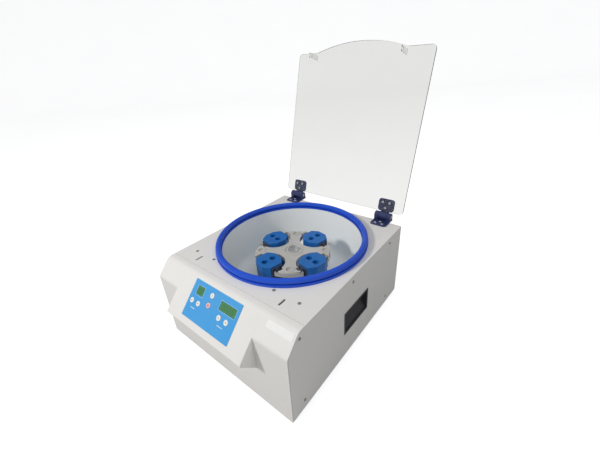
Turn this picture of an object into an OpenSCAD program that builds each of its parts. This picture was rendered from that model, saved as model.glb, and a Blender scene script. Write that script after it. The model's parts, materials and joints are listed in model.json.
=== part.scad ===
// Bench cytocentrifuge with a clear hinged lid, seen open as it stands on a bench.
// Inside each module y runs from the front bottom edge to the back and z from the bench up.
// The wrapper to_origin() moves that to the part's origin, the middle of its box at bench level.

/* [Housing] */
// Width of the housing
body_w = 380; // [360:1:420]
// Depth of the housing from the front bottom edge to the back
body_d = 440; // [430:1:480]
// Height of the housing without its feet
body_h = 198; // [180:1:230]
// Height of the rubber feet
foot_h = 10; // [6:1:16]
// Thickness of the housing's sheet steel
sheet = 1.5; // [1:0.1:2]
// Distance of the seam in the top from the front
seam_y = 52; // [45:1:58]

/* [Front] */
// Distance of the bend above the slope from the front
bend_y = 36; // [32:1:42]
// Angle of the sloping front below the horizontal
slope_angle = 46.5; // [42:0.5:52]
// Length of the slope beside the console block
slope_len = 47; // [40:1:52]
// Length of the slope on the console block
console_len = 100; // [95:1:110]
// Reach of the console block to the left
console_left = 117; // [105:1:130]
// Reach of the console block to the right
console_right = 111; // [100:1:125]
// Height where the underside of the console block meets the front, above the housing's bottom
console_low = 88; // [70:1:95]

/* [Control panel] */
// Width of the blue membrane
panel_w = 140; // [132:1:150]
// Length of the blue membrane down the slope
panel_l = 77; // [72:1:84]
// Distance of the membrane from the bend
panel_v = 7.5; // [4:0.5:12]
// Thickness of the membrane
panel_t = 0.8; // [0.5:0.1:1.2]
// Radius of a key
key_r = 5.5; // [5:0.5:7]
// Height of a key above the membrane
key_proud = 0.6; // [0.4:0.1:1.5]
// Travel of a key
key_travel = 0.5; // [0.3:0.1:0.6]
// Width of the blank name plate
plate_w = 58; // [40:1:62]
// Height of the blank name plate
plate_h = 14; // [10:1:18]

/* [Bowl] */
// Distance of the rotor axis from the front
bowl_y = 248; // [246:1:256]
// Inner radius of the bowl
bowl_r = 163.5; // [158:0.5:165]
// Depth of the bowl below the top of the housing
bowl_depth = 120; // [112:1:126]
// Thickness of the bowl's sheet
bowl_t = 1.5; // [1:0.1:2]
// Radius of the bowl's bottom corner
bowl_corner = 22; // [12:1:30]
// Width of the rubber gasket on the rim
gasket_w = 14.5; // [12:0.5:16]
// Height of the gasket above the housing
gasket_h = 17; // [14:0.5:20]

/* [Rotor] */
// Radius at which the buckets hang
swing_r = 71.5; // [71:0.5:76]
// Height of the trunnions below the top of the housing
swing_drop = 38; // [34:1:42]
// Turn of the rotor at rest
rotor_turn = -11.5; // [-40:0.5:40]
// Thickness of the rotor's arms
arm_t = 12; // [11:1:14]
// Radius of the rotor's arm ends
arm_r = 92; // [88:1:96]
// Radius of the motor shaft
shaft_r = 6; // [5:0.5:8]
// Radius of a trunnion pin
trunnion_r = 4; // [3:0.5:5]

/* [Buckets] */
// Width of a blue insert across the rotor's arm
insert_w = 58; // [56:1:64]
// Width of a blue insert along the rotor's radius
insert_l = 54; // [48:1:58]
// Height of a blue insert above its trunnions
insert_up = 13; // [8:1:14]
// Depth of a blue insert below its trunnions
insert_down = 68; // [50:1:70]
// Radius of a tube hole
tube_r = 7; // [4:0.5:8]
// Depth of a tube hole
tube_depth = 62; // [40:1:70]
// Distance between the two tube holes of an insert
tube_pitch = 22; // [20:1:26]
// Thickness of the bucket cradle
cradle_t = 3; // [2:0.25:3.5]

/* [Lid] */
// Width of the clear lid
lid_w = 369.5; // [350:0.5:380]
// Distance of the closed lid's front corners from the housing's front
lid_front = 59.5; // [57:0.5:61]
// Reach of the round bulge past the corners
bulge = 20; // [10:1:26]
// Half width of the round bulge
bulge_x = 123; // [100:1:130]
// Thickness of the lid
lid_t = 5; // [4:0.5:6]
// Lean of the open lid behind the vertical
lid_lean = 15; // [5:1:25]

/* [Hinges] */
// Distance of each hinge from the middle
hinge_x = 139; // [120:1:150]
// Width of a hinge
hinge_w = 42; // [36:1:48]
// Radius of a hinge barrel
barrel_r = 9; // [8:0.5:10]
// Radius of a hinge pin
pin_r = 4; // [3:0.5:5]
// Thickness of the hinge plates
leaf_t = 3; // [2:0.5:4]
// Gap between the housing's top and a hinge barrel
barrel_lift = 4.5; // [4:0.5:6]
// Distance of the hinge axis behind the housing's back
barrel_back = 6; // [3:1:9]

/* [Grips and openings] */
// Length of a side grip
grip_l = 94; // [80:1:110]
// Height of a side grip
grip_h = 53; // [45:1:60]
// Room between a side grip and the bowl
grip_room = 3; // [2:0.5:8]
// Distance of a side grip's middle from the front
grip_y = 224; // [200:1:260]
// Height of a side grip's middle above the housing's bottom
grip_z = 93; // [80:1:110]
// Distance of the lock slots from the middle
slot_x = 123; // [110:1:135]
// Length of a lock slot
slot_l = 18; // [12:1:20]
// Width of a lock slot
slot_w = 4.4; // [2.4:0.1:5]
// Distance of a lock slot's middle behind the closed lid's front corner
slot_inset = 13; // [11:0.5:14]

/* [Fits] */
// Clearance between pieces that stand beside each other
gap = 0.3; // [0.2:0.05:0.4]
// Open seam between the front and the top and sides
seam = 0.8; // [0.4:0.1:0.9]
// Radial clearance of a shaft or pin that turns in its hole
run = 0.05; // [0.02:0.01:0.08]

/* [Hidden] */
$fn = 96;

cream = [0.86, 0.85, 0.82];
sky = [0.29, 0.62, 0.85];
navy = [0.09, 0.12, 0.30];
ring_blue = [0.09, 0.22, 0.72];
insert_blue = [0.10, 0.38, 0.66];
cast = [0.76, 0.75, 0.71];
steel = [0.72, 0.73, 0.75];
black = [0.08, 0.08, 0.09];
lcd_green = [0.20, 0.50, 0.34];
clear = [0.85, 0.88, 0.88, 0.35];

// Heights and places shared by several pieces
low_z = foot_h;
top_z = foot_h + body_h;
pan_t = 2;
pan_top = low_z + pan_t;
eps = 0.5;
inner_x = body_w / 2 - sheet;
// The base pan stands inside the fascia's side flanges
pan_x = inner_x - sheet - 2 * gap;
pan_lip = 30;
grip_depth = body_w / 2 - bowl_r - bowl_t - grip_room;

// Front profile: seam, bend, upper kink, lower front edge
kink_y = bend_y - slope_len * cos(slope_angle);
kink_z = top_z - slope_len * sin(slope_angle);
console_y = bend_y - console_len * cos(slope_angle);
console_z = top_z - console_len * sin(slope_angle);
console_low_z = low_z + console_low;
console_low_y = kink_y * (console_low_z - low_z) / (kink_z - low_z);

// Control panel
panel_x = -1.75;
board_gap = 12;
board_t = 1.6;
switch_h = board_gap - board_t - key_travel - 2 * gap;
key_places = [[-12.5, 22.4], [-12.5, 42], [-60, 50], [-40, 50], [24.7, 50.8], [45.5, 50.8]];
time_window = [-47.3, 26.5, 20.5, 18];
speed_window = [37.8, 29, 44.5, 17];
plate_x = body_w / 2 - 33;
plate_v = 12;
plate_t = 0.6;

// Bowl and gasket
bowl_floor = top_z - bowl_depth;
bowl_out = bowl_r + bowl_t;
rim_r = bowl_r + gasket_w - 3;
gasket_r = bowl_r + gasket_w;
gasket_top = top_z + gasket_h;
bulb_r = gasket_w * 0.43;
seal_r = 24;

// Rotor
swing_z = top_z - swing_drop;
hub_r = 24;
hub_top = swing_z + arm_t / 2 + 1.5;
hub_low = swing_z - arm_t / 2 - 8;
nut_h = 5;
washer_h = 1.5;
shaft_top = hub_top + washer_h + nut_h + 1.5;
boss_r = 10.5;
boss_at = 78;
cradle_w = insert_w / 2 + gap + cradle_t;
ear_r = trunnion_r + 4;
ear_w = cradle_w + 4;
notch_l = ear_r + 1.6;
pocket_r = ear_w + 1.6;
pin_tip = insert_w / 2 + gap + 0.6;
notch_w = pocket_r + 5.4;
pin_root = pocket_r + 12;
insert_low = swing_z - insert_down;
insert_top = swing_z + insert_up;

// Motor
motor_r = 50;
motor_low = pan_top + 8;
motor_top = bowl_floor - bowl_t - 12;
motor_plate_t = 4;
bearing_r = 13;
bearing_h = 8;
mount_x = 62;

// Lid and hinges: the lid's own frame has its origin on the hinge axis
axis_y = body_d + barrel_back;
axis_z = top_z + barrel_lift + barrel_r;
lid_start = barrel_r + 1;
lid_l = axis_y - lid_start - lid_front;
slot_y = lid_front + slot_inset;
lid_low = gasket_top + gap - axis_z;
lid_high = lid_low + lid_t;
leaf_l = 31.5;
knuckle_w = 20;
screw_pitch = 18;
leaf_screws = [[-screw_pitch / 2, 22.5], [screw_pitch / 2, 22.5], [0, 8]];
foot_front = axis_y - 34;
foot_screws = [[-screw_pitch / 2, foot_front + 8], [screw_pitch / 2, foot_front + 8], [0, foot_front + 18]];
screw_r = 2;
head_r = 3.6;
head_h = 2;
bulge_r = (bulge_x * bulge_x + bulge * bulge) / (2 * bulge);

// Lid lock
hook_t = 1.6;
hook_l = 12;
hook_reach = 17;
pin_drop = 11;
bar_drop = 26;
bar_w = 8;
bar_t = 3;
lug_t = 4;
lug_gap = 7;
guide_x = [-80, 80];
coil_x = 10;
coil_l = 44;
coil_w = 11;
rod_r = 3;
rod_drop = 12;
lock_travel = 5.5;

// Top and side screws
lip_y = 96;
top_screws = [[-151, 87], [-90, 87], [90, 87], [151, 87]];
side_screw_y = [37, 207, 376];
side_screw_z = top_z - 15;
low_screw_z = low_z + 22.5;
side_screws = [[side_screw_y[0], side_screw_z], [side_screw_y[1], side_screw_z],
  [side_screw_y[2], side_screw_z], [side_screw_y[0], low_screw_z], [side_screw_y[2], low_screw_z]];
cover_screw_r = 1.75;
cover_head_r = 3.2;
cover_head_h = 1.6;

// Back panel fittings
inlet_x = body_w / 2 - 60;
inlet_z = low_z + 45;
inlet_w = 48;
inlet_hh = 28;
switch_x = inlet_x - 52;
switch_w = 22;
switch_hh = 28;
fuse_x = switch_x - 38;
fuse_r = 7;
vent_x = 95 - body_w / 2;
vent_l = 110;
vents = 9;
vent_pitch = 12;
vent_low = low_z + 60;

// Power supply and drive board
supply_w = 90;
supply_l = 100;
supply_h = 48;
supply_room = 20.5;
drive_w = 85;
drive_l = 110;
drive_up = 8;

// The part's origin lies under the middle of its box
lid_reach = lid_start + lid_l + bulge;
back_y = axis_y + lid_reach * sin(lid_lean) + lid_high * cos(lid_lean);
front_y = console_y;
origin_y = (front_y + back_y) / 2;

module to_origin() {
  translate([0, -origin_y, 0]) children();
}

// Sets children on the slope: x across, y down the slope, z out of the face
module on_slope() {
  translate([0, bend_y, top_z]) rotate([slope_angle - 180, 0, 0]) mirror([0, 0, 1]) children();
}

// Turns children that are drawn with the lid lying shut about the hinge axis to the open lid
module open_lid() {
  translate([0, axis_y, axis_z]) rotate([-(90 + lid_lean), 0, 0]) children();
}

// Sets children at the rotor axis, turned as the rotor stands
module at_rotor(turn = 0) {
  translate([0, bowl_y, 0]) rotate([0, 0, rotor_turn + turn]) children();
}

// A side view outline in y and z drawn across from x0 to x1
module across(x0, x1) {
  translate([x0, 0, 0]) rotate([90, 0, 90]) linear_extrude(x1 - x0) children();
}

// A flat plate with round corners, its middle at the origin
module round_plate(w, l, r) {
  for (s = [-1, 1]) {
    square([w, l - 2 * r], center = true);
    square([w - 2 * r, l], center = true);
    for (q = [-1, 1]) translate([s * (w / 2 - r), q * (l / 2 - r)]) circle(r, $fn = 32);
  }
}

// Front outline of the housing, moved in by t
module front_outline(t) {
  // The inner outline moves each face in along its own normal
  turn = tan((90 - slope_angle) / 2);
  lean = tan(slope_angle / 2);
  polygon([[seam_y + eps, top_z - t], [bend_y + t * lean, top_z - t], [kink_y + t, kink_z - t * turn],
    [t, low_z - eps], [seam_y + eps, low_z - eps]]);
}

// Outline of the console block, moved in by t
module console_outline(t) {
  lean = tan(slope_angle / 2);
  polygon([[seam_y, top_z - t], [bend_y + t * lean, top_z - t], [console_y + 1.45 * t, console_z],
    [console_low_y + t, console_low_z + 1.4 * t], [seam_y, console_low_z + 1.4 * t]]);
}

module body_box() {
  translate([-body_w / 2, -body_d, low_z]) cube([body_w, 2 * body_d, body_h]);
}

module slot_cuts() {
  for (s = [-1, 1])
    translate([s * slot_x - slot_w / 2, slot_y - slot_l / 2, top_z - 40]) cube([slot_w, slot_l, 60]);
}

module top_screw_holes(r) {
  for (p = top_screws) translate([p[0], p[1], top_z - 3 * sheet]) cylinder(h = 4 * sheet, r = r, $fn = 24);
}

module side_screw_holes(r) {
  for (p = side_screws)
    translate([-body_w, p[0], p[1]]) rotate([0, 90, 0]) cylinder(h = 2 * body_w, r = r, $fn = 24);
}

module base_pan() {
  color(steel) to_origin() difference() {
    translate([-pan_x, 2 * sheet, low_z]) cube([2 * pan_x, body_d - 3 * sheet - gap, pan_lip]);
    translate([-pan_x + sheet, 3 * sheet, pan_top]) cube([2 * (pan_x - sheet), body_d - 5 * sheet - gap, pan_lip]);
    for (i = [-3:3]) translate([i * 26, 60, 0]) cube([6, 70, 60]);
    side_screw_holes(cover_screw_r);
  }
}

module rubber_feet() {
  color(black) to_origin() for (s = [-1, 1], y = [45, body_d - 40])
    translate([s * (body_w / 2 - 40), y, 0]) cylinder(h = foot_h, r1 = 13, r2 = 15);
}

module top_cover() {
  color(cream) to_origin() difference() {
    union() {
      translate([-body_w / 2, seam_y + seam, top_z - sheet]) cube([body_w, body_d - seam_y - seam, sheet]);
      for (s = [-1, 1]) translate([s * (body_w / 2 - sheet / 2) - sheet / 2, 0, 0]) across(0, sheet)
        union() {
          intersection() {
            front_outline(sheet + seam);
            translate([0, low_z]) square([seam_y + 5, body_h]);
          }
          translate([seam_y, low_z]) square([body_d - seam_y, body_h]);
        }
    }
    translate([0, bowl_y, top_z - 10]) cylinder(h = 20, r = bowl_out + gap);
    slot_cuts();
    top_screw_holes(cover_screw_r);
    side_screw_holes(cover_screw_r);
    for (s = [-1, 1]) translate([s * body_w / 2 - 10, grip_y - grip_l / 2, low_z + grip_z - grip_h / 2])
      cube([20, grip_l, grip_h]);
    hinge_screw_holes();
  }
}

module hinge_screw_holes() {
  for (s = [-1, 1], p = foot_screws)
    translate([s * hinge_x + p[0], p[1], top_z - 3 * sheet]) cylinder(h = 30, r = screw_r, $fn = 24);
}

module rear_panel() {
  color(cream) to_origin() difference() {
    translate([-inner_x + gap, body_d - sheet, low_z])
      cube([2 * (inner_x - gap), sheet, body_h - sheet - gap]);
    for (i = [0:vents - 1])
      translate([vent_x - vent_l / 2, body_d - 10, vent_low + i * vent_pitch]) cube([vent_l, 20, 4]);
    translate([inlet_x - inlet_w / 2, body_d - 10, inlet_z - inlet_hh / 2]) cube([inlet_w, 20, inlet_hh]);
    translate([switch_x - switch_w / 2, body_d - 10, inlet_z - switch_hh / 2]) cube([switch_w, 20, switch_hh]);
    translate([fuse_x, body_d + 10, inlet_z]) rotate([90, 0, 0]) cylinder(h = 20, r = fuse_r);
  }
}

module front_fascia() {
  color(cream) to_origin() difference() {
    union() {
      difference() {
        intersection() {
          union() {
            across(-body_w / 2, body_w / 2) front_outline(0);
            across(-console_left, console_right) console_outline(0);
          }
          body_box();
          translate([-body_w, -body_d, 0]) cube([2 * body_w, body_d + seam_y, 2 * body_h]);
        }
        across(-body_w, body_w) front_outline(sheet);
        across(-console_left + sheet, console_right - sheet) console_outline(sheet);
      }
      // Lip under the top cover, and side flanges behind the side panels
      difference() {
        translate([-inner_x + gap, bend_y + sheet, top_z - 2 * sheet - gap])
          cube([2 * (inner_x - gap), lip_y - bend_y, sheet]);
        translate([0, bowl_y, 0]) cylinder(h = 2 * body_h, r = bowl_out + gap);
      }
      translate([-inner_x + gap, seam_y - 2 * sheet, top_z - 2 * sheet - gap])
        cube([2 * (inner_x - gap), sheet * 2 - gap, 2 * sheet]);
      for (s = [-1, 1]) translate([s * (inner_x - gap - sheet / 2) - sheet / 2, 0, 0]) across(0, sheet)
        intersection() {
          front_outline(sheet / 2);
          translate([0, low_z + 2 + gap]) square([seam_y - gap, body_h - 4]);
        }
    }
    slot_cuts();
    top_screw_holes(cover_screw_r);
    side_screw_holes(cover_screw_r);
    on_slope() {
      for (p = key_places) translate([p[0], p[1], -10]) cylinder(h = 20, r = key_r + gap);
      for (q = [time_window, speed_window]) translate([q[0], q[1], 0]) cube([q[2], q[3], 30], center = true);
    }
  }
}

module name_plate() {
  color("white") to_origin() on_slope() translate([plate_x, plate_v, 0])
    linear_extrude(plate_t) round_plate(plate_w, plate_h, 1);
}

module control_membrane() {
  color(sky) to_origin() on_slope() difference() {
    translate([panel_x, panel_v + panel_l / 2, 0]) linear_extrude(panel_t) round_plate(panel_w, panel_l, 1.5);
    for (p = key_places) translate([p[0], p[1], -1]) cylinder(h = 5, r = key_r + gap);
    for (q = [time_window, speed_window]) translate([q[0], q[1], 0]) cube([q[2], q[3], 10], center = true);
  }
}

module display(q) {
  color(lcd_green) to_origin() on_slope() translate([q[0], q[1], (panel_t - board_gap) / 2])
    cube([q[2] - 2 * gap, q[3] - 2 * gap, board_gap + panel_t], center = true);
}

module time_display() {
  display(time_window);
}

module speed_display() {
  display(speed_window);
}

module control_board() {
  color([0.1, 0.35, 0.2]) to_origin() on_slope() {
    translate([panel_x, panel_v + panel_l / 2, -board_gap - board_t / 2])
      cube([panel_w - 10, panel_l - 16, board_t], center = true);
    for (s = [-1, 1], v = [-1, 1])
      translate([panel_x + s * (panel_w / 2 - 8), panel_v + panel_l / 2 + v * (panel_l / 2 - 10), -board_gap])
        cylinder(h = board_gap - sheet, r = 2, $fn = 24);
  }
}

module key_switches() {
  color(black) to_origin() on_slope() for (p = key_places)
    translate([p[0], p[1], -board_gap + 1]) cube([6, 6, 2], center = true);
}

module key(i) {
  p = key_places[i];
  color("white") to_origin() on_slope() translate([p[0], p[1], 0]) {
    translate([0, 0, -sheet]) cylinder(h = sheet + panel_t + key_proud, r = key_r);
    translate([0, 0, -board_gap + 2 + key_travel + gap])
      cylinder(h = board_gap - sheet - 2 - key_travel, r = 2, $fn = 24);
  }
}

module start_key() {
  key(0);
}

module stop_key() {
  key(1);
}

module time_up_key() {
  key(2);
}

module time_down_key() {
  key(3);
}

module speed_up_key() {
  key(4);
}

module speed_down_key() {
  key(5);
}

// Half outline of a bowl whose walls are moved in by t
module bowl_half(t) {
  r = bowl_out - t;
  c = bowl_corner - t;
  low = bowl_floor - bowl_t + t;
  translate([0, low + c]) square([r, top_z + 5 - low - c]);
  translate([0, low]) square([r - c, c + 1]);
  translate([r - c, low + c]) circle(c);
}

module bowl() {
  color([0.80, 0.83, 0.85]) to_origin() translate([0, bowl_y, 0]) rotate_extrude($fn = 180)
    intersection() {
      difference() {
        union() {
          intersection() {
            bowl_half(0);
            square([bowl_out + 1, top_z + bowl_t]);
          }
          translate([bowl_r, top_z]) square([rim_r - bowl_r, bowl_t]);
        }
        bowl_half(bowl_t);
      }
      translate([seal_r - 2, 0]) square([2 * bowl_r, 2 * top_z]);
    }
}

module bowl_gasket() {
  rim_top = top_z + bowl_t;
  color(ring_blue) to_origin() translate([0, bowl_y, 0]) rotate_extrude($fn = 180) {
    translate([bowl_r, rim_top]) square([gasket_w, 3.6]);
    translate([rim_r + gap, top_z]) square([gasket_r - rim_r - gap, bowl_t + 1]);
    translate([bowl_r + gasket_w / 2, gasket_top - bulb_r]) circle(bulb_r, $fn = 48);
    translate([bowl_r + gasket_w / 2 - 3, rim_top]) square([6, gasket_h - bulb_r - bowl_t]);
  }
}

module shaft_seal() {
  z = bowl_floor;
  color(black) to_origin() translate([0, bowl_y, 0]) rotate_extrude() difference() {
    polygon([[shaft_r + 0.4, z - 3], [seal_r - 2, z - 3], [seal_r - 2, z], [seal_r + 4, z],
      [seal_r + 4, z + 2], [shaft_r + 8, z + 3], [shaft_r + 4, z + 12], [shaft_r + 0.4, z + 12]]);
  }
}

module grip_cup(side) {
  y0 = grip_y - grip_l / 2;
  z0 = low_z + grip_z - grip_h / 2;
  wall = 2;
  rim = 2.5;
  color(black) to_origin() scale([side, 1, 1]) difference() {
    union() {
      translate([body_w / 2, y0 - rim, z0 - rim]) cube([1, grip_l + 2 * rim, grip_h + 2 * rim]);
      translate([0, y0 + gap, 0]) rotate([90, 0, 0]) mirror([0, 0, 1]) linear_extrude(grip_l - 2 * gap)
        polygon([[body_w / 2 + 0.5, z0 + gap], [body_w / 2 + 0.5, z0 + grip_h - gap],
          [body_w / 2 - grip_depth, z0 + grip_h - gap], [body_w / 2 - grip_depth, z0 + grip_h - 16],
          [body_w / 2 - 5, z0 + gap]]);
    }
    translate([0, y0 + gap + wall, 0]) rotate([90, 0, 0]) mirror([0, 0, 1])
      linear_extrude(grip_l - 2 * gap - 2 * wall)
      polygon([[body_w / 2 + 3, z0 + gap + wall], [body_w / 2 + 3, z0 + grip_h - gap - wall],
        [body_w / 2 - grip_depth + wall, z0 + grip_h - gap - wall],
        [body_w / 2 - grip_depth + wall, z0 + grip_h - 15], [body_w / 2 - 3.5, z0 + gap + wall]]);
  }
}

module grip_left() {
  mirror([1, 0, 0]) grip_cup(1);
}

module grip_right() {
  grip_cup(1);
}

// Fixed half of a hinge: plate with two round corners, web and two outer knuckles
module hinge_foot(s) {
  side_w = (hinge_w - knuckle_w) / 2 - gap;
  color(navy) to_origin() difference() {
    union() {
      translate([s * hinge_x, 0, top_z]) linear_extrude(leaf_t) intersection() {
        translate([0, foot_front + 30]) round_plate(hinge_w, 60, 7);
        translate([-hinge_w, foot_front - 1]) square([2 * hinge_w, axis_y - foot_front + 12]);
      }
      for (q = [-1, 1]) translate([s * hinge_x + q * (hinge_w - side_w) / 2, axis_y, axis_z]) {
        rotate([0, 90, 0]) cylinder(h = side_w, r = barrel_r, center = true);
        translate([-side_w / 2, -barrel_r, top_z - axis_z]) cube([side_w, 2 * barrel_r, axis_z - top_z]);
      }
    }
    translate([s * hinge_x - hinge_w, axis_y, axis_z]) rotate([0, 90, 0]) cylinder(h = 2 * hinge_w, r = pin_r);
    hinge_screw_holes();
  }
}

module hinge_foot_left() {
  hinge_foot(-1);
}

module hinge_foot_right() {
  hinge_foot(1);
}

// Moving half of a hinge, drawn with the lid shut: it lies on top of the lid
module hinge_leaf(s) {
  color(navy) to_origin() open_lid() difference() {
    union() {
      translate([s * hinge_x, -lid_start - leaf_l / 2, lid_high]) linear_extrude(leaf_t)
        round_plate(hinge_w, leaf_l, 7);
      translate([s * hinge_x, 0, 0]) {
        rotate([0, 90, 0]) cylinder(h = knuckle_w, r = barrel_r, center = true);
        translate([-knuckle_w / 2, -lid_start - 8, lid_high]) cube([knuckle_w, lid_start + 8, leaf_t]);
        translate([-knuckle_w / 2, gap - lid_start, 0]) cube([knuckle_w, lid_start - gap, lid_high + leaf_t]);
      }
    }
    translate([s * hinge_x - hinge_w, 0, 0]) rotate([0, 90, 0]) cylinder(h = 2 * hinge_w, r = pin_r + run);
    lid_screw_holes();
  }
}

module hinge_leaf_left() {
  hinge_leaf(-1);
}

module hinge_leaf_right() {
  hinge_leaf(1);
}

module lid_screw_holes() {
  for (s = [-1, 1], p = leaf_screws)
    translate([s * hinge_x + p[0], -lid_start - p[1], lid_low - 5]) cylinder(h = 20, r = screw_r, $fn = 24);
}

module hinge_pins() {
  color(steel) to_origin() for (s = [-1, 1])
    translate([s * hinge_x, axis_y, axis_z]) rotate([0, 90, 0]) cylinder(h = hinge_w + 1, r = pin_r, center = true);
}

// A round-headed screw whose head sits on z = 0 and whose stem goes down
module screw(stem, r, head, h) {
  cylinder(h = h, r1 = head, r2 = head * 0.72, $fn = 32);
  translate([0, 0, -stem]) cylinder(h = stem + h / 2, r = r, $fn = 24);
}

module hinge_foot_screws() {
  color(steel) to_origin() for (s = [-1, 1], p = foot_screws)
    translate([s * hinge_x + p[0], p[1], top_z + leaf_t]) screw(8, screw_r, head_r, head_h);
}

module lid_screws() {
  color(steel) to_origin() open_lid() for (s = [-1, 1], p = leaf_screws)
    translate([s * hinge_x + p[0], -lid_start - p[1], lid_low]) mirror([0, 0, 1])
      screw(lid_t + leaf_t, screw_r, head_r, head_h);
}

module cover_screws() {
  color(steel) to_origin() {
    for (p = top_screws) translate([p[0], p[1], top_z]) screw(6, cover_screw_r, cover_head_r, cover_head_h);
    for (s = [-1, 1], p = side_screws) translate([s * body_w / 2, p[0], p[1]]) rotate([0, s * 90, 0])
      screw(6, cover_screw_r, cover_head_r, cover_head_h);
  }
}

module lid_plate() {
  color(clear) to_origin() open_lid() difference() {
    translate([0, -lid_start, lid_low]) linear_extrude(lid_t) union() {
      translate([0, -lid_l / 2]) round_plate(lid_w, lid_l, 9);
      intersection() {
        translate([0, -lid_l - bulge + bulge_r]) circle(bulge_r, $fn = 360);
        translate([-bulge_x, -lid_l - bulge - 1]) square([2 * bulge_x, bulge + 10]);
      }
    }
    lid_screw_holes();
  }
}

// Clear hooks under the lid that drop through the slots; each has a window for a lock pin
module lid_hooks() {
  color(clear) to_origin() open_lid() for (s = [-1, 1])
    translate([s * slot_x - hook_t / 2, slot_y - axis_y, top_z - axis_z]) difference() {
      translate([0, -hook_l / 2, -hook_reach]) cube([hook_t, hook_l, hook_reach + gasket_h + gap]);
      translate([-1, 0, -pin_drop]) cube([2 * hook_t + 2, 6, 6], center = true);
    }
}

// Bar that slides to the right and sends a pin through each hook; the solenoid's rod hangs under it
module lock_bar() {
  bar_z = top_z - bar_drop;
  color(steel) to_origin() translate([0, slot_y, 0]) {
    translate([-slot_x - lug_gap - lug_t, -bar_w / 2, bar_z]) cube([2 * slot_x, bar_w, bar_t]);
    for (s = [-1, 1]) translate([s * slot_x - lug_gap, 0, 0]) {
      translate([-lug_t, -bar_w / 2, bar_z]) cube([lug_t, bar_w, bar_drop - pin_drop + 4]);
      translate([-eps, 0, top_z - pin_drop]) rotate([0, 90, 0])
        cylinder(h = lug_gap - hook_t / 2 - 1 + eps, r = 2, $fn = 32);
    }
    translate([coil_x + coil_l / 2 + 16, -bar_w / 2, bar_z - rod_drop - 4]) cube([lug_t, bar_w, rod_drop + 5]);
    translate([coil_x - 6, 0, bar_z - rod_drop]) rotate([0, 90, 0])
      cylinder(h = coil_l / 2 + 23, r = rod_r);
  }
}

module lock_guides() {
  color(black) to_origin() for (x = guide_x) translate([x, slot_y, 0]) difference() {
    translate([-7, -bar_w / 2 - 4, top_z - bar_drop - 4])
      cube([14, bar_w + 8, bar_drop + 4 - 2 * sheet - gap]);
    translate([-10, -bar_w / 2 - gap, top_z - bar_drop - gap]) cube([20, bar_w + 2 * gap, bar_t + 2 * gap]);
  }
}

module lock_solenoid() {
  coil_z = top_z - bar_drop - rod_drop;
  color([0.25, 0.25, 0.28]) to_origin() translate([coil_x, slot_y, 0]) difference() {
    union() {
      translate([-coil_l / 2, -coil_w / 2, coil_z - 8]) cube([coil_l, coil_w, 16]);
      translate([-coil_l / 2, -coil_w / 2 - 2, coil_z - 8]) cube([coil_l, 2.5, top_z - 2 * sheet - gap - coil_z + 8]);
    }
    translate([-coil_l / 2 + 4, 0, coil_z]) rotate([0, 90, 0]) cylinder(h = coil_l, r = rod_r + run);
  }
}

module motor_housing() {
  color([0.3, 0.31, 0.33]) to_origin() translate([0, bowl_y, 0]) difference() {
    translate([0, 0, motor_low]) cylinder(h = motor_top - motor_low, r = motor_r);
    translate([0, 0, motor_low + 4]) cylinder(h = body_h, r = shaft_r + 2);
    for (z = [motor_low + 4, motor_top - bearing_h])
      translate([0, 0, z]) cylinder(h = bearing_h + gap, r = bearing_r);
  }
}

module motor_bearings() {
  color(steel) to_origin() translate([0, bowl_y, 0]) for (z = [motor_low + 4, motor_top - bearing_h])
    translate([0, 0, z]) difference() {
      cylinder(h = bearing_h, r = bearing_r);
      translate([0, 0, -1]) cylinder(h = bearing_h + 2, r = shaft_r + run);
    }
}

module motor_plate() {
  color(steel) to_origin() translate([0, bowl_y, motor_top]) difference() {
    linear_extrude(motor_plate_t) round_plate(2 * mount_x + 26, 2 * mount_x + 26, 12);
    translate([0, 0, -1]) cylinder(h = 10, r = bearing_r);
  }
}

module motor_mounts() {
  color(black) to_origin() translate([0, bowl_y, 0]) for (x = [-1, 1], y = [-1, 1])
    translate([x * mount_x, y * mount_x, pan_top]) cylinder(h = motor_top - pan_top, r = 9);
}

module motor_shaft() {
  color(steel) to_origin() translate([0, bowl_y, motor_low + 5])
    cylinder(h = shaft_top - motor_low - 5, r = shaft_r);
}

// Plan of the rotor between its hub and the ends of its arms
module spider_plan() {
  difference() {
    circle(arm_r, $fn = 120);
    for (i = [0:3]) rotate([0, 0, 90 * i]) {
      translate([swing_r, 0]) circle(pocket_r);
      translate([swing_r, -pocket_r]) square([arm_r, 2 * pocket_r]);
      translate([swing_r - notch_l, -notch_w]) square([2 * notch_l, 2 * notch_w]);
    }
  }
}

module rotor_spider() {
  color(cast) to_origin() at_rotor() difference() {
    union() {
      translate([0, 0, swing_z - arm_t / 2]) linear_extrude(arm_t) spider_plan();
      translate([0, 0, hub_low]) cylinder(h = hub_top - hub_low, r = hub_r);
      for (i = [0:3]) rotate([0, 0, 90 * i + 45]) translate([boss_at, 0, swing_z])
        cylinder(h = arm_t / 2 + 1.5, r = boss_r, $fn = 64);
    }
    for (i = [0:3]) rotate([0, 0, 90 * i + 45]) translate([boss_at, 0, swing_z + arm_t / 2 - 3])
      cylinder(h = 10, r = boss_r - 3, $fn = 64);
    translate([0, 0, hub_top - 2]) rotate_extrude() translate([14, 0]) square([6, 5]);
    translate([0, 0, hub_low - 1]) cylinder(h = 60, r = shaft_r + run);
    for (i = [0:3], s = [-1, 1]) rotate([0, 0, 90 * i])
      translate([swing_r, s * (pocket_r - 1 + pin_root) / 2, swing_z]) rotate([90, 0, 0])
        cylinder(h = pin_root - pocket_r + 1, r = trunnion_r, center = true);
  }
}

module rotor_nut() {
  color(steel) to_origin() at_rotor() difference() {
    union() {
      translate([0, 0, hub_top]) cylinder(h = washer_h + nut_h, r = 10, $fn = 6);
      translate([0, 0, hub_top]) cylinder(h = washer_h, r = 12);
    }
    translate([0, 0, hub_top - 1]) cylinder(h = 20, r = shaft_r + run);
  }
}

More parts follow.
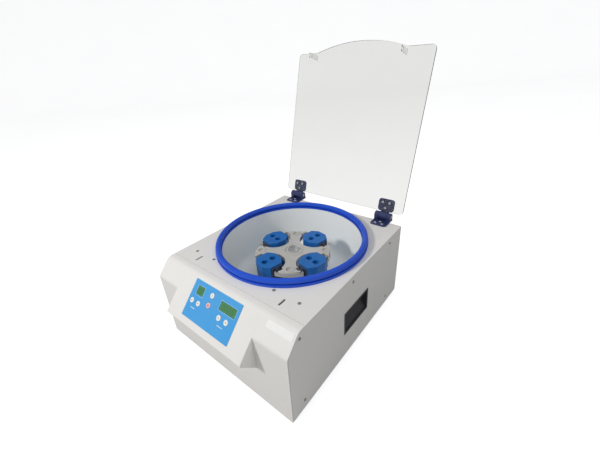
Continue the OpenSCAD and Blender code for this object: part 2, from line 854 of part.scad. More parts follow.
module trunnion_pins() {
  color(steel) to_origin() at_rotor() for (i = [0:3], s = [-1, 1]) rotate([0, 0, 90 * i])
    translate([swing_r, s * (pin_tip + pin_root) / 2, swing_z]) rotate([90, 0, 0])
      cylinder(h = pin_root - pin_tip, r = trunnion_r, center = true);
}

// A bucket cradle: two side plates that hook over the trunnions, and a floor
module cradle(i) {
  side_l = 26;
  color([0.08, 0.1, 0.2]) to_origin() at_rotor(90 * i) translate([swing_r, 0, 0]) difference() {
    union() {
      for (s = [-1, 1]) {
        translate([-side_l / 2, s * (cradle_w - cradle_t / 2) - cradle_t / 2, insert_low - cradle_t])
          cube([side_l, cradle_t, insert_top - 4 - insert_low + cradle_t]);
        translate([0, s * (ear_w + cradle_w - cradle_t) / 2, swing_z]) rotate([90, 0, 0])
          cylinder(h = ear_w - cradle_w + cradle_t, r = ear_r, center = true, $fn = 64);
      }
      translate([-side_l / 2, -cradle_w, insert_low - cradle_t]) cube([side_l, 2 * cradle_w, cradle_t]);
    }
    for (s = [-1, 1]) translate([0, s * cradle_w, swing_z]) {
      rotate([90, 0, 0]) cylinder(h = 20, r = trunnion_r + run, center = true);
    }
  }
}

module cradle_a() {
  cradle(0);
}

module cradle_b() {
  cradle(1);
}

module cradle_c() {
  cradle(2);
}

module cradle_d() {
  cradle(3);
}

// Plan of a blue insert: a square with wide bevels and flats towards the trunnions
module insert_plan() {
  a = insert_l / 2;
  b = insert_w / 2;
  polygon([[a, -12], [a, 12], [a * 0.58, b], [-a * 0.58, b], [-a, 12], [-a, -12], [-a * 0.58, -b],
    [a * 0.58, -b]]);
}

module tube_insert(i) {
  color(insert_blue) to_origin() at_rotor(90 * i) translate([swing_r, 0, 0]) difference() {
    translate([0, 0, insert_low]) linear_extrude(insert_top - insert_low) insert_plan();
    for (s = [-1, 1]) translate([s * tube_pitch / 2, 0, insert_top - tube_depth])
      cylinder(h = tube_depth + 1, r = tube_r, $fn = 48);
  }
}

module tube_insert_a() {
  tube_insert(0);
}

module tube_insert_b() {
  tube_insert(1);
}

module tube_insert_c() {
  tube_insert(2);
}

module tube_insert_d() {
  tube_insert(3);
}

module power_supply() {
  color(steel) to_origin() translate([20 - inner_x, body_d - sheet - supply_room - supply_l, pan_top])
    cube([supply_w, supply_l, supply_h]);
}

module drive_board() {
  color([0.1, 0.35, 0.2]) to_origin() translate([body_w / 2 - drive_w - 30, bowl_y + 20, pan_top]) {
    translate([0, 0, drive_up]) cube([drive_w, drive_l, board_t]);
    for (x = [6, drive_w - 6], y = [6, drive_l - 6]) translate([x, y, 0]) cylinder(h = drive_up, r = 3, $fn = 24);
    translate([12, 20, drive_up + board_t]) cube([40, 30, 22]);
  }
}

module power_inlet() {
  color(black) to_origin() translate([inlet_x, body_d, inlet_z]) difference() {
    union() {
      translate([-inlet_w / 2 - 2, 0, -inlet_hh / 2 - 2]) cube([inlet_w + 4, 2, inlet_hh + 4]);
      translate([-inlet_w / 2 + gap, -22, -inlet_hh / 2 + gap]) cube([inlet_w - 2 * gap, 22.5, inlet_hh - 2 * gap]);
    }
    translate([-13, -16, -9]) cube([26, 30, 18]);
  }
}

module switch_frame() {
  color(black) to_origin() translate([switch_x, body_d, inlet_z]) difference() {
    union() {
      translate([-switch_w / 2 - 2, 0, -switch_hh / 2 - 2]) cube([switch_w + 4, 2, switch_hh + 4]);
      translate([-switch_w / 2 + gap, -18, -switch_hh / 2 + gap])
        cube([switch_w - 2 * gap, 18.5, switch_hh - 2 * gap]);
    }
    translate([-switch_w / 2 + 2, -12, -switch_hh / 2 + 2]) cube([switch_w - 4, 20, switch_hh - 4]);
  }
}

// Rocker that tips about a level axis inside its frame
module power_switch() {
  w = switch_w - 4 - 2 * gap;
  l = switch_hh - 4 - 4 * gap;
  tip = 8;
  color([0.6, 0.08, 0.08]) to_origin() translate([switch_x, body_d - 2, inlet_z]) rotate([tip, 0, 0])
    intersection() {
      rotate([0, 90, 0]) cylinder(h = w, r = l / 2, center = true);
      translate([0, 2, 0]) cube([w, 9, l], center = true);
    }
}

module fuse_holder() {
  color(black) to_origin() translate([fuse_x, body_d, inlet_z]) rotate([90, 0, 0]) {
    translate([0, 0, -6]) cylinder(h = 6, r = fuse_r + 2);
    translate([0, 0, -1]) cylinder(h = 25, r = fuse_r - gap);
  }
}

base_pan();
rubber_feet();
top_cover();
rear_panel();
front_fascia();
name_plate();
control_membrane();
time_display();
speed_display();
control_board();
key_switches();
start_key();
stop_key();
time_up_key();
time_down_key();
speed_up_key();
speed_down_key();
bowl();
bowl_gasket();
shaft_seal();
grip_left();
grip_right();
hinge_foot_left();
hinge_foot_right();
hinge_leaf_left();
hinge_leaf_right();
hinge_pins();
hinge_foot_screws();
lid_screws();
cover_screws();
lid_plate();
lid_hooks();
lock_bar();
lock_guides();
lock_solenoid();
motor_housing();
motor_bearings();
motor_plate();
motor_mounts();
motor_shaft();
rotor_spider();
rotor_nut();
trunnion_pins();
cradle_a();
cradle_b();
cradle_c();
cradle_d();
tube_insert_a();
tube_insert_b();
tube_insert_c();
tube_insert_d();
power_supply();
drive_board();
power_inlet();
switch_frame();
power_switch();
fuse_holder();
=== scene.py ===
import json
import math

import bmesh
import bpy
from mathutils import Matrix, Vector

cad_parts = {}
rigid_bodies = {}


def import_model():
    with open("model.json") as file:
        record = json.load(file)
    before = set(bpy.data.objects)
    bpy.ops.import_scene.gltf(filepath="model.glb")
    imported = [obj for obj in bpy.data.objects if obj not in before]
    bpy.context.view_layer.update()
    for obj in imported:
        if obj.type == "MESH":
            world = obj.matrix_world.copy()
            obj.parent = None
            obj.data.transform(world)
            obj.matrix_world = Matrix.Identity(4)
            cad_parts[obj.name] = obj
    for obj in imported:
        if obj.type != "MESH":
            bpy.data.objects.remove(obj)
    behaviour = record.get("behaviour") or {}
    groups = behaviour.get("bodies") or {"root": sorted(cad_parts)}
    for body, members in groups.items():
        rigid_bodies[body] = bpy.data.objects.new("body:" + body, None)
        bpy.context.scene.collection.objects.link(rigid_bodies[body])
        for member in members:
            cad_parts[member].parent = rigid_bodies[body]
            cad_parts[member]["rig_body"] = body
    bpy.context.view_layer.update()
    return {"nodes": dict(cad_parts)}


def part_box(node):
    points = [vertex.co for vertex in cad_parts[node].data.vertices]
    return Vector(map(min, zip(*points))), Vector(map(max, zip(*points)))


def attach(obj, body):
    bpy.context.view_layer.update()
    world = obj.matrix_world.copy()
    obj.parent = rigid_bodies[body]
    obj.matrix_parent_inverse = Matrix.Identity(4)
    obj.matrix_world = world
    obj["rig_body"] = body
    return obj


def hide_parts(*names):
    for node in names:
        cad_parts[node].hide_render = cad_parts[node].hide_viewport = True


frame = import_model()
nodes = frame["nodes"]
print("frame loaded with", len(nodes), "nodes")

mm = 0.001
housing = {
    "depth": 440,          # front bottom edge to back, in mm
    "halfWidth": 190,
    "topZ": 208,
    "bendY": 36,           # here the top turns down into the slope
    "slopeAngle": 46.5,
    "bowlY": 248,
    "hingeY": 446,
    "hingeZ": 221.5,
    "lidLean": 15,         # how far the open lid leans back
}
originY = housing["depth"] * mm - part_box("rear_panel")[1].y


# Points are given in mm from the middle of the front bottom edge, as a maker would measure them
def fromFront(x, y, z):
    return Vector((x * mm, y * mm - originY, z * mm))


def slopeFrame():
    a = math.radians(housing["slopeAngle"])
    across = Vector((1, 0, 0))
    down = Vector((0, -math.cos(a), -math.sin(a)))
    out = Vector((0, -math.sin(a), math.cos(a)))
    turn = Matrix((across, down, out)).transposed().to_4x4()
    return Matrix.Translation(fromFront(0, housing["bendY"], housing["topZ"])) @ turn


def lidFrame():
    lean = Matrix.Rotation(-math.radians(90 + housing["lidLean"]), 4, "X")
    return Matrix.Translation(fromFront(0, housing["hingeY"], housing["hingeZ"])) @ lean


# Node helpers for the finishes
def addNode(tree, kind, **values):
    node = tree.nodes.new(kind)
    for key, value in values.items():
        setattr(node, key, value)
    return node


def newGroup(name, inputs, outputs):
    tree = bpy.data.node_groups.new(name, "ShaderNodeTree")
    for title, start in inputs:
        socket = tree.interface.new_socket(title, in_out="INPUT", socket_type="NodeSocketFloat")
        socket.default_value = start
    for title in outputs:
        tree.interface.new_socket(title, in_out="OUTPUT", socket_type="NodeSocketFloat")
    return tree, addNode(tree, "NodeGroupInput"), addNode(tree, "NodeGroupOutput")


def mathNode(tree, operation, a, b, clamp=False):
    node = addNode(tree, "ShaderNodeMath", operation=operation, use_clamp=clamp)
    for socket, value in zip(node.inputs, (a, b)):
        if isinstance(value, (int, float)):
            socket.default_value = value
        else:
            tree.links.new(value, socket)
    return node.outputs[0]


def noiseNode(tree, vector, scale, detail):
    node = addNode(tree, "ShaderNodeTexNoise")
    node.inputs["Detail"].default_value = detail
    tree.links.new(vector, node.inputs["Vector"])
    tree.links.new(scale, node.inputs["Scale"])
    return node


def buildGrain():
    # Fine height for powder coat, moulded plastic and cast metal
    tree, start, end = newGroup("surfaceGrain", [("Scale", 700.0), ("Coarse Share", 0.3)], ["Height", "Mottle"])
    coarseRatio = 0.12   # the coarse noise has this share of the fine one's scale
    where = addNode(tree, "ShaderNodeTexCoord").outputs["Object"]
    fine = noiseNode(tree, where, start.outputs["Scale"], 4)
    coarseScale = mathNode(tree, "MULTIPLY", start.outputs["Scale"], coarseRatio)
    coarse = noiseNode(tree, where, coarseScale, 3)
    coarsePart = mathNode(tree, "MULTIPLY", coarse.outputs["Fac"], start.outputs["Coarse Share"])
    tree.links.new(mathNode(tree, "ADD", fine.outputs["Fac"], coarsePart), end.inputs["Height"])
    tree.links.new(coarse.outputs["Fac"], end.inputs["Mottle"])
    return tree


def buildHandling():
    # Broad faint patches left by handling and dust, 0 clean and 1 dull
    tree, start, end = newGroup("handlingMarks", [("Scale", 14.0), ("Sharpness", 2.2)], ["Mark"])
    markGain = 2.2
    where = addNode(tree, "ShaderNodeTexCoord").outputs["Object"]
    broad = noiseNode(tree, where, start.outputs["Scale"], 6)
    broad.inputs["Roughness"].default_value = 0.62
    raised = mathNode(tree, "POWER", broad.outputs["Fac"], start.outputs["Sharpness"])
    tree.links.new(mathNode(tree, "MULTIPLY", raised, markGain, clamp=True), end.inputs["Mark"])
    return tree


def buildEdgeRub():
    # Edges where paint or anodising has rubbed through
    tree, start, end = newGroup("edgeRub", [("Start", 0.53), ("Breakup Scale", 260.0)], ["Rub"])
    rubGain = 14.0
    shape = addNode(tree, "ShaderNodeNewGeometry")
    where = addNode(tree, "ShaderNodeTexCoord").outputs["Object"]
    breakup = noiseNode(tree, where, start.outputs["Breakup Scale"], 5)
    over = mathNode(tree, "SUBTRACT", shape.outputs["Pointiness"], start.outputs["Start"])
    sharp = mathNode(tree, "MULTIPLY", over, rubGain, clamp=True)
    tree.links.new(mathNode(tree, "MULTIPLY", sharp, breakup.outputs["Fac"], clamp=True), end.inputs["Rub"])
    return tree


def buildTurnedLines():
    # Fine lines that run round the vertical axis, as on a spun or turned metal part
    tree, start, end = newGroup("turnedLines", [("Scale", 900.0)], ["Lines"])
    squeeze = {"X": 0.03, "Y": 0.03, "Z": 1.0}
    where = addNode(tree, "ShaderNodeTexCoord").outputs["Object"]
    split = addNode(tree, "ShaderNodeSeparateXYZ")
    join = addNode(tree, "ShaderNodeCombineXYZ")
    tree.links.new(where, split.inputs["Vector"])
    for axis, share in squeeze.items():
        tree.links.new(mathNode(tree, "MULTIPLY", split.outputs[axis], share), join.inputs[axis])
    lines = noiseNode(tree, join.outputs["Vector"], start.outputs["Scale"], 3)
    tree.links.new(lines.outputs["Fac"], end.inputs["Lines"])
    return tree


surfaceGrain = buildGrain()
handlingMarks = buildHandling()
edgeRub = buildEdgeRub()
turnedLines = buildTurnedLines()

# What all the finishes share
wear = {"markScale": 14, "turnedMarkScale": 9, "rubStart": 0.53, "rubPolish": 0.1, "dustColor": (0.62, 0.60, 0.56),
        "turnedSpread": 0.12, "lineStrength": 0.12, "lineDepth": 0.03}


def useGroup(tree, group, **values):
    node = addNode(tree, "ShaderNodeGroup", node_tree=group)
    for key, value in values.items():
        node.inputs[key].default_value = value
    return node


def startMaterial(name):
    material = bpy.data.materials.new(name)
    material.use_nodes = True
    tree = material.node_tree
    return material, tree, tree.nodes["Principled BSDF"]


def mixColor(tree, factor, a, b):
    node = addNode(tree, "ShaderNodeMix", data_type="RGBA")
    tree.links.new(factor, node.inputs[0])
    for socket, value in ((node.inputs[6], a), (node.inputs[7], b)):
        if isinstance(value, tuple):
            socket.default_value = (*value, 1)
        else:
            tree.links.new(value, socket)
    return node.outputs[2]


def addBump(tree, shader, height, strength, depth):
    bump = addNode(tree, "ShaderNodeBump")
    bump.inputs["Strength"].default_value = strength
    bump.inputs["Distance"].default_value = depth * mm
    tree.links.new(height, bump.inputs["Height"])
    tree.links.new(bump.outputs["Normal"], shader.inputs["Normal"])


# One coated, moulded or cast finish; look says how it differs from the others
def makeFinish(name, look):
    material, tree, shader = startMaterial(name)
    grain = useGroup(tree, surfaceGrain, Scale=look["grainScale"])
    marks = useGroup(tree, handlingMarks, Scale=wear["markScale"])
    color = mixColor(tree, grain.outputs["Mottle"], look["color"], look["mottle"])
    dulled = mathNode(tree, "MULTIPLY", marks.outputs["Mark"], look.get("dust", 0.12))
    color = mixColor(tree, dulled, color, look.get("dustColor", wear["dustColor"]))
    rough = mathNode(tree, "MULTIPLY", marks.outputs["Mark"], look.get("roughSpread", 0.12))
    rough = mathNode(tree, "ADD", rough, look["roughness"])
    if "rub" in look:
        rub = useGroup(tree, edgeRub, Start=wear["rubStart"])
        amount = mathNode(tree, "MULTIPLY", rub.outputs["Rub"], look["rub"], clamp=True)
        color = mixColor(tree, amount, color, look["rubColor"])
        rough = mathNode(tree, "SUBTRACT", rough, mathNode(tree, "MULTIPLY", amount, wear["rubPolish"]))
    tree.links.new(color, shader.inputs["Base Color"])
    tree.links.new(rough, shader.inputs["Roughness"])
    shader.inputs["Metallic"].default_value = look.get("metallic", 0)
    shader.inputs["Coat Weight"].default_value = look.get("coat", 0)
    shader.inputs["Coat Roughness"].default_value = look.get("coatRoughness", 0.1)
    addBump(tree, shader, grain.outputs["Height"], look.get("grainStrength", 0.25), look.get("grainDepth", 0.06))
    return material


# Spun or turned metal with lines round the axis
def makeTurnedMetal(name, look):
    material, tree, shader = startMaterial(name)
    lines = useGroup(tree, turnedLines, Scale=look["lineScale"])
    marks = useGroup(tree, handlingMarks, Scale=wear["turnedMarkScale"])
    color = mixColor(tree, lines.outputs["Lines"], look["color"], look["mottle"])
    dulled = mathNode(tree, "MULTIPLY", marks.outputs["Mark"], look["dust"])
    color = mixColor(tree, dulled, color, look["dustColor"])
    rough = mathNode(tree, "MULTIPLY", lines.outputs["Lines"], wear["turnedSpread"])
    rough = mathNode(tree, "ADD", rough, look["roughness"])
    tree.links.new(color, shader.inputs["Base Color"])
    tree.links.new(rough, shader.inputs["Roughness"])
    shader.inputs["Metallic"].default_value = look["metallic"]
    addBump(tree, shader, lines.outputs["Lines"], wear["lineStrength"], wear["lineDepth"])
    return material


# Clear sheet with faint smears in its gloss
def makeClearSheet(name, look):
    material, tree, shader = startMaterial(name)
    marks = useGroup(tree, handlingMarks, Scale=look["markScale"])
    smeared = mathNode(tree, "MULTIPLY", marks.outputs["Mark"], look["smear"])
    tree.links.new(mathNode(tree, "ADD", smeared, look["roughness"]), shader.inputs["Roughness"])
    tint = mixColor(tree, marks.outputs["Mark"], look["color"], look["mottle"])
    tree.links.new(tint, shader.inputs["Base Color"])
    shader.inputs["Transmission Weight"].default_value = 1
    shader.inputs["IOR"].default_value = look["ior"]
    # Daylight passes the sheet, so that what lies behind it isn't in the dark
    path = addNode(tree, "ShaderNodeLightPath")
    passing = mathNode(tree, "ADD", path.outputs["Is Shadow Ray"], path.outputs["Is Diffuse Ray"], clamp=True)
    through = addNode(tree, "ShaderNodeBsdfTransparent")
    through.inputs["Color"].default_value = (*look["passing"], 1)
    both = addNode(tree, "ShaderNodeMixShader")
    tree.links.new(passing, both.inputs["Fac"])
    tree.links.new(shader.outputs["BSDF"], both.inputs[1])
    tree.links.new(through.outputs["BSDF"], both.inputs[2])
    tree.links.new(both.outputs["Shader"], tree.nodes["Material Output"].inputs["Surface"])
    return material


creamLook = {"color": (0.775, 0.755, 0.728), "mottle": (0.805, 0.785, 0.76), "roughness": 0.40, "grainScale": 620,
             "grainStrength": 0.22, "grainDepth": 0.08, "dust": 0.05, "rub": 0.25, "rubColor": (0.9, 0.89, 0.87),
             "dustColor": (0.70, 0.69, 0.66)}
gasketLook = {"color": (0.003, 0.066, 0.56), "mottle": (0.005, 0.080, 0.64), "roughness": 0.34, "grainScale": 500,
              "roughSpread": 0.22, "grainDepth": 0.04, "dust": 0.07, "dustColor": (0.16, 0.25, 0.60), "coat": 0.1}
insertLook = {"color": (0.005, 0.125, 0.44), "mottle": (0.007, 0.150, 0.50), "roughness": 0.38, "grainScale": 420,
              "grainDepth": 0.05, "dust": 0.07, "rub": 0.5, "rubColor": (0.14, 0.36, 0.66), "metallic": 0.1,
              "dustColor": (0.16, 0.32, 0.54)}
membraneLook = {"color": (0.048, 0.33, 0.72), "mottle": (0.06, 0.36, 0.76), "roughness": 0.34, "grainScale": 1500,
                "grainDepth": 0.03, "dust": 0.08, "dustColor": (0.42, 0.60, 0.78)}
hingeLook = {"color": (0.009, 0.016, 0.085), "mottle": (0.013, 0.022, 0.105), "roughness": 0.30, "grainScale": 500,
             "rub": 0.7, "rubColor": (0.20, 0.24, 0.42), "coat": 0.3, "dust": 0.08,
             "dustColor": (0.20, 0.22, 0.32)}
castLook = {"color": (0.60, 0.585, 0.55), "mottle": (0.70, 0.69, 0.66), "roughness": 0.40, "grainScale": 380,
            "grainStrength": 0.4, "grainDepth": 0.12, "metallic": 0.35, "rub": 0.6, "rubColor": (0.9, 0.89, 0.86),
            "dust": 0.16, "dustColor": (0.40, 0.37, 0.32)}
# The cradles' near-black colour is partly their own dark anodising and partly painted shade, standing in for the
# shadowed trunnion slots beside the inserts
cradleDarkAndSlotShadeLook = {"color": (0.016, 0.028, 0.075), "mottle": (0.026, 0.042, 0.10), "roughness": 0.38, "grainScale": 500,
              "metallic": 0.4, "rub": 0.6, "rubColor": (0.35, 0.38, 0.45), "dust": 0.10}
gripLook = {"color": (0.026, 0.026, 0.029), "mottle": (0.036, 0.036, 0.039), "roughness": 0.46, "grainScale": 900,
            "grainStrength": 0.6, "grainDepth": 0.12, "dust": 0.12, "dustColor": (0.16, 0.155, 0.15)}
rubberLook = {"color": (0.016, 0.016, 0.017), "mottle": (0.028, 0.027, 0.026), "roughness": 0.7, "grainScale": 600,
              "dust": 0.25, "dustColor": (0.20, 0.19, 0.18)}
plateLook = {"color": (0.86, 0.86, 0.85), "mottle": (0.90, 0.90, 0.89), "roughness": 0.38, "grainScale": 1400,
             "grainDepth": 0.02, "dust": 0.05, "coat": 0.2}
keyLook = {"color": (0.80, 0.82, 0.80), "mottle": (0.88, 0.89, 0.87), "roughness": 0.28, "grainScale": 900,
           "grainDepth": 0.02, "dust": 0.06, "coat": 0.3}
stopLook = {"color": (0.80, 0.50, 0.50), "mottle": (0.84, 0.58, 0.57), "roughness": 0.28, "grainScale": 900,
            "grainDepth": 0.02, "dust": 0.06, "coat": 0.3}
redMarkLook = {"color": (0.62, 0.05, 0.04), "mottle": (0.70, 0.09, 0.07), "roughness": 0.4, "grainScale": 900}
darkMarkLook = {"color": (0.26, 0.25, 0.08), "mottle": (0.32, 0.30, 0.11), "roughness": 0.45, "grainScale": 900}
whiteMarkLook = {"color": (0.72, 0.82, 0.88), "mottle": (0.80, 0.87, 0.92), "roughness": 0.45, "grainScale": 900}
displayLook = {"color": (0.05, 0.215, 0.07), "mottle": (0.065, 0.25, 0.085), "roughness": 0.16, "grainScale": 260,
               "grainStrength": 0.05, "dust": 0.06, "coat": 0.6, "coatRoughness": 0.04,
               "dustColor": (0.2, 0.34, 0.2)}
digitLook = {"color": (0.018, 0.075, 0.045), "mottle": (0.024, 0.09, 0.05), "roughness": 0.2, "grainScale": 260}
motorLook = {"color": (0.06, 0.062, 0.068), "mottle": (0.08, 0.082, 0.088), "roughness": 0.5, "grainScale": 500,
             "metallic": 0.3}
boardLook = {"color": (0.02, 0.12, 0.05), "mottle": (0.03, 0.15, 0.06), "roughness": 0.4, "grainScale": 300,
             "coat": 0.3}
rockerLook = {"color": (0.40, 0.014, 0.014), "mottle": (0.46, 0.02, 0.02), "roughness": 0.25, "grainScale": 700,
              "grainDepth": 0.02, "dust": 0.06, "coat": 0.3}
bowlLook = {"color": (0.90, 0.925, 0.905), "mottle": (0.925, 0.945, 0.93), "roughness": 0.40, "metallic": 0,
            "lineScale": 700, "dust": 0.15, "dustColor": (0.84, 0.85, 0.84)}
brightLook = {"color": (0.80, 0.80, 0.81), "mottle": (0.87, 0.87, 0.88), "roughness": 0.18, "metallic": 1,
              "lineScale": 1600, "dust": 0.12, "dustColor": (0.5, 0.49, 0.47)}
screwLook = {"color": (0.36, 0.35, 0.33), "mottle": (0.42, 0.41, 0.39), "roughness": 0.42, "metallic": 0.7,
             "lineScale": 1600, "dust": 0.2, "dustColor": (0.40, 0.38, 0.35)}
sheetLook = {"color": (0.55, 0.56, 0.57), "mottle": (0.62, 0.63, 0.64), "roughness": 0.36, "metallic": 1,
             "lineScale": 500, "dust": 0.2, "dustColor": (0.45, 0.44, 0.43)}
lidLook = {"color": (0.82, 0.82, 0.80), "mottle": (0.80, 0.80, 0.785), "roughness": 0.015, "smear": 0.03,
           "markScale": 7, "ior": 1.49, "passing": (0.90, 0.90, 0.89)}

creamCoat = makeFinish("creamCoat", creamLook)
gasketRubber = makeFinish("gasketRubber", gasketLook)
insertBlue = makeFinish("insertBlue", insertLook)
membraneBlue = makeFinish("membraneBlue", membraneLook)
hingePaint = makeFinish("hingePaint", hingeLook)
castMetal = makeFinish("castMetal", castLook)
# Near-black cradle finish, partly painted shade for the shadowed trunnion slots
cradleDarkAndSlotShade = makeFinish("cradleDarkAndSlotShade", cradleDarkAndSlotShadeLook)
gripPlastic = makeFinish("gripPlastic", gripLook)
blackRubber = makeFinish("blackRubber", rubberLook)
plateWhite = makeFinish("plateWhite", plateLook)
keyWhite = makeFinish("keyWhite", keyLook)
keyStop = makeFinish("keyStop", stopLook)
redMark = makeFinish("redMark", redMarkLook)
darkMark = makeFinish("darkMark", darkMarkLook)
whiteMark = makeFinish("whiteMark", whiteMarkLook)
displayGreen = makeFinish("displayGreen", displayLook)
digitDark = makeFinish("digitDark", digitLook)
motorPaint = makeFinish("motorPaint", motorLook)
boardGreen = makeFinish("boardGreen", boardLook)
rockerRed = makeFinish("rockerRed", rockerLook)
bowlMetal = makeTurnedMetal("bowlMetal", bowlLook)
brightMetal = makeTurnedMetal("brightMetal", brightLook)
sheetMetal = makeTurnedMetal("sheetMetal", sheetLook)
screwMetal = makeTurnedMetal("screwMetal", screwLook)
clearSheet = makeClearSheet("clearSheet", lidLook)
print("finishes made")


def link(piece):
    bpy.context.scene.collection.objects.link(piece)
    return piece


def smoothByAngle(mesh, degrees):
    for face in mesh.polygons:
        face.use_smooth = True
    mesh.set_sharp_from_angle(angle=math.radians(degrees))


# Turns what was worked on into an object with its finish
def pieceFrom(work, name, material=None, smoothAngle=None):
    mesh = bpy.data.meshes.new(name)
    work.to_mesh(mesh)
    work.free()
    if material:
        mesh.materials.append(material)
    if smoothAngle:
        smoothByAngle(mesh, smoothAngle)
    return link(bpy.data.objects.new(name, mesh))


# How a node's edges are broken: weld in mm, the rest in degrees
edges = {"weld": 0.001, "flat": 0.6, "sharp": 32}


# A node's own shape with its edges broken, which stands for the node
def softenNode(nodeName, material, width, rounder=None):
    source = nodes[nodeName]
    mesh = source.data.copy()
    mesh.name = nodeName + "Soft"
    work = bmesh.new()
    work.from_mesh(mesh)
    bmesh.ops.remove_doubles(work, verts=work.verts, dist=edges["weld"] * mm)
    bmesh.ops.dissolve_limit(work, angle_limit=math.radians(edges["flat"]), verts=work.verts, edges=work.edges)
    if rounder:
        rounder(work)
    bmesh.ops.recalc_face_normals(work, faces=work.faces)
    work.to_mesh(mesh)
    work.free()
    mesh.materials.clear()
    mesh.materials.append(material)
    smoothByAngle(mesh, edges["sharp"])
    piece = link(bpy.data.objects.new(nodeName + "Soft", mesh))
    if width:
        bevel = piece.modifiers.new("brokenEdges", "BEVEL")
        bevel.width = width * mm
        bevel.segments = 3 if width > 0.6 else 2
        bevel.limit_method = "ANGLE"
        bevel.angle_limit = math.radians(edges["sharp"])
        bevel.use_clamp_overlap = rounder is not None   # short edges lie beside the rounded bends
        bevel.harden_normals = True
    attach(piece, source["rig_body"])
    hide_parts(nodeName)


# Bends that run across the front: y, z and how wide the sheet's outer bend is rounded
fasciaBends = {"topBend": (36, 208, 7), "upperKink": (3.65, 173.9, 3), "blockNose": (-32.8, 135.5, 3)}


def roundFasciaBends(work):
    near, straight = 1.0 * mm, 0.9
    for y, z, width in fasciaBends.values():
        target = fromFront(0, y, z)
        chosen = []
        for edge in work.edges:
            ends = [v.co for v in edge.verts]
            along = abs(ends[0].x - ends[1].x) > straight * (ends[0] - ends[1]).length
            if along and all(abs(p.y - target.y) < near and abs(p.z - target.z) < near for p in ends):
                chosen.append(edge)
        if chosen:
            bmesh.ops.bevel(work, geom=chosen, offset=width * mm, segments=6, affect="EDGES", profile=0.5)


# The finish of each node and the width in mm of its broken edges
softNodes = {
    "top_cover": (creamCoat, 0.35), "rear_panel": (creamCoat, 0.3), "front_fascia": (creamCoat, 0.4),
    "name_plate": (plateWhite, 0.2), "control_membrane": (membraneBlue, 0.2),
    "time_display": (displayGreen, 0.25), "speed_display": (displayGreen, 0.25),
    "bowl": (bowlMetal, 0), "bowl_gasket": (gasketRubber, 0), "shaft_seal": (blackRubber, 0.3),
    "grip_left": (gripPlastic, 0.6), "grip_right": (gripPlastic, 0.6),
    "hinge_foot_left": (hingePaint, 0.5), "hinge_foot_right": (hingePaint, 0.5),
    "hinge_leaf_left": (hingePaint, 0.5), "hinge_leaf_right": (hingePaint, 0.5),
    "lid_plate": (clearSheet, 0.7), "lid_hooks": (clearSheet, 0.3),
    "rotor_spider": (castMetal, 0.5), "rotor_nut": (brightMetal, 0.5),
    # The cradles' near-black finish also stands in as painted shade for the shadowed trunnion slots
    "cradle_a": (cradleDarkAndSlotShade, 0.4), "cradle_b": (cradleDarkAndSlotShade, 0.4),
    "cradle_c": (cradleDarkAndSlotShade, 0.4), "cradle_d": (cradleDarkAndSlotShade, 0.4),
    "tube_insert_a": (insertBlue, 0.8), "tube_insert_b": (insertBlue, 0.8),
    "tube_insert_c": (insertBlue, 0.8), "tube_insert_d": (insertBlue, 0.8),
    "rubber_feet": (blackRubber, 0.8), "power_inlet": (gripPlastic, 0.5), "switch_frame": (gripPlastic, 0.5),
    "power_switch": (rockerRed, 0.4), "fuse_holder": (gripPlastic, 0.6),
}
for nodeName, (material, width) in softNodes.items():
    softenNode(nodeName, material, width, roundFasciaBends if nodeName == "front_fascia" else None)

plainNodes = {
    "base_pan": sheetMetal, "control_board": boardGreen, "key_switches": gripPlastic, "hinge_pins": brightMetal,
    "lock_bar": sheetMetal, "lock_guides": gripPlastic, "lock_solenoid": motorPaint, "motor_housing": motorPaint,
    "motor_bearings": brightMetal, "motor_plate": sheetMetal, "motor_mounts": blackRubber,
    "motor_shaft": brightMetal, "trunnion_pins": brightMetal, "power_supply": sheetMetal,
    "drive_board": boardGreen,
}
for nodeName, material in plainNodes.items():
    mesh = nodes[nodeName].data
    mesh.materials.clear()
    mesh.materials.append(material)
print("housing, bowl, lid and rotor dressed")


# Turns a profile of (radius, height) pairs round the Z axis and closes it below; it ends at radius 0
def spinProfile(profile, steps, place=Matrix.Identity(4)):
    work = bmesh.new()
    rows = []
    for r, z in profile:
        turns = [2 * math.pi * k / steps for k in range(steps if r > 0 else 1)]
        rows.append([work.verts.new(place @ Vector((r * math.cos(a), r * math.sin(a), z))) for a in turns])
    for low, high in zip(rows, rows[1:]):
        for k in range(steps):
            n = (k + 1) % steps
            work.faces.new((low[k], low[n], high[0]) if len(high) == 1 else (low[k], low[n], high[n], high[k]))
    work.faces.new(rows[0])
    bmesh.ops.recalc_face_normals(work, faces=work.faces)
    return work


# Places in mm; a head is its radius, its height and half the length of its recess
screws = {
    "hingeHead": (3.6, 2.0, 1.7), "coverHead": (3.2, 1.6, 1.5),
    "skirt": 0.35, "slotShare": 0.28, "crossLift": 1.05, "turnStep": 37,
    "hingeX": 139, "pitch": 18, "leafUp": 22.5, "leafLow": 8, "lidStart": 10, "lidLow": 3.8,
    "footFront": 420, "footBack": 430, "footTop": 211, "topRow": (-151, -90, 90, 151), "topY": 87,
    "sideTopY": (37, 207, 376), "sideTopZ": 193, "sideLowY": (37, 376), "sideLowZ": 32.5,
}


